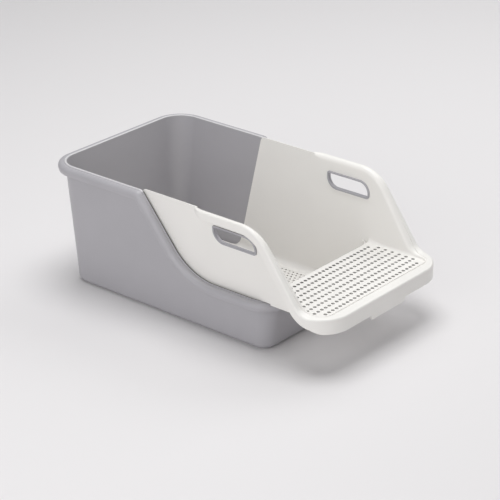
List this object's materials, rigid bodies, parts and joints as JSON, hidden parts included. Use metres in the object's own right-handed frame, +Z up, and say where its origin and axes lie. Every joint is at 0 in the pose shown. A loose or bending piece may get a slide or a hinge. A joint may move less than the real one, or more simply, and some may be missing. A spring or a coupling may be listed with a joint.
{
  "type": "open-top litter box",
  "caption": "Open-top litter box: a deep grey tray with a dipped front rim, and a lift-out white shield with a perforated entry step, rolled flanges and side handles.",
  "frame": {"origin": "on the floor, under the middle of the whole box", "axes": "+Z up, -Y towards the entry step, +Y towards the back of the tray, X across"},
  "size_m": [0.3566, 0.634, 0.2365],
  "materials": {
    "tray_grey": "satin",
    "shield_white": "satin",
    "ring_grey": "matte"
  },
  "bodies": {
    "tray": {"litter_tray": "tray_grey"},
    "shield": {"entry_shield": "shield_white", "left_handle_ring": "ring_grey", "right_handle_ring": "ring_grey"}
  },
  "joints": [
    {"name": "shield_lift", "type": "slide", "parent": "tray", "child": "shield", "axis": [0, 0, 1], "range_m": [0, 0.24]}
  ]
}
